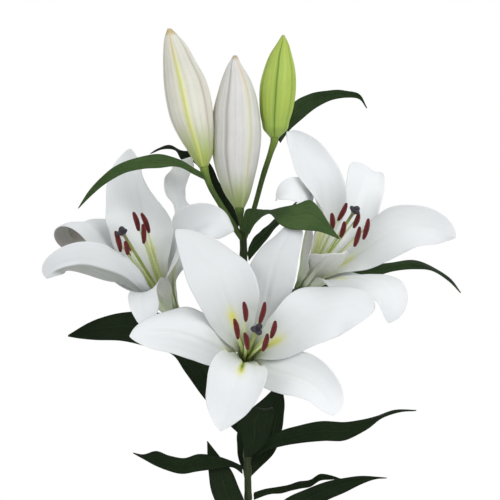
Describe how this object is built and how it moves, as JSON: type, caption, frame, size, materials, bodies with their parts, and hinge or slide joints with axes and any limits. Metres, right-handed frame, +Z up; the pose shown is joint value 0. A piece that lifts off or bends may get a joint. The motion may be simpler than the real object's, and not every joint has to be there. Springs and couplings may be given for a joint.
{
  "type": "lilies in a vase",
  "caption": "A stem of white lilies with open flowers, buds and dark leaves, standing in a narrow-necked off-white vase.",
  "frame": {"origin": "centre of the flat foot of the vase", "axes": "+Z up along the vase, +X to the right and +Y away from the side that the front flower faces"},
  "size_m": [0.3361, 0.1858, 0.6743],
  "materials": {
    "glaze": "smooth off-white glaze",
    "stem": "fresh green stalk, satin; stands for living plant tissue",
    "leaf": "dark green leaf with parallel veins, satin",
    "petal": "white tepal, soft and slightly translucent, green at the throat",
    "bud_white": "white bud with lime base and midribs",
    "bud_green": "lime green young bud",
    "anther": "matt brick-red pollen on the anther, pale green filament",
    "style": "olive green style with a dark stigma"
  },
  "bodies": {
    "root": {"vase": "glaze", "stem": "stem", "bud_left": "bud_white", "bud_centre": "bud_white", "bud_right": "bud_green", "front_1": "petal", "front_2": "petal", "front_3": "petal", "front_4": "petal", "front_5": "petal", "front_6": "petal", "front_stamen_1": "anther", "front_stamen_2": "anther", "front_stamen_3": "anther", "front_stamen_4": "anther", "front_stamen_5": "anther", "front_stamen_6": "anther", "front_pistil": "style", "left_1": "petal", "left_2": "petal", "left_3": "petal", "left_4": "petal", "left_5": "petal", "left_6": "petal", "left_stamen_1": "anther", "left_stamen_2": "anther", "left_stamen_3": "anther", "left_stamen_4": "anther", "left_stamen_5": "anther", "left_stamen_6": "anther", "left_pistil": "style", "right_1": "petal", "right_2": "petal", "right_3": "petal", "right_4": "petal", "right_5": "petal", "right_6": "petal", "right_stamen_1": "anther", "right_stamen_2": "anther", "right_stamen_3": "anther", "right_stamen_4": "anther", "right_stamen_5": "anther", "right_stamen_6": "anther", "right_pistil": "style", "leaf_01": "leaf", "leaf_02": "leaf", "leaf_03": "leaf", "leaf_05": "leaf", "leaf_06": "leaf", "leaf_07": "leaf", "leaf_08": "leaf", "leaf_10": "leaf", "leaf_11": "leaf", "leaf_12": "leaf", "leaf_13": "leaf", "leaf_14": "leaf", "leaf_15": "leaf", "leaf_16": "leaf"}
  },
  "joints": []
}
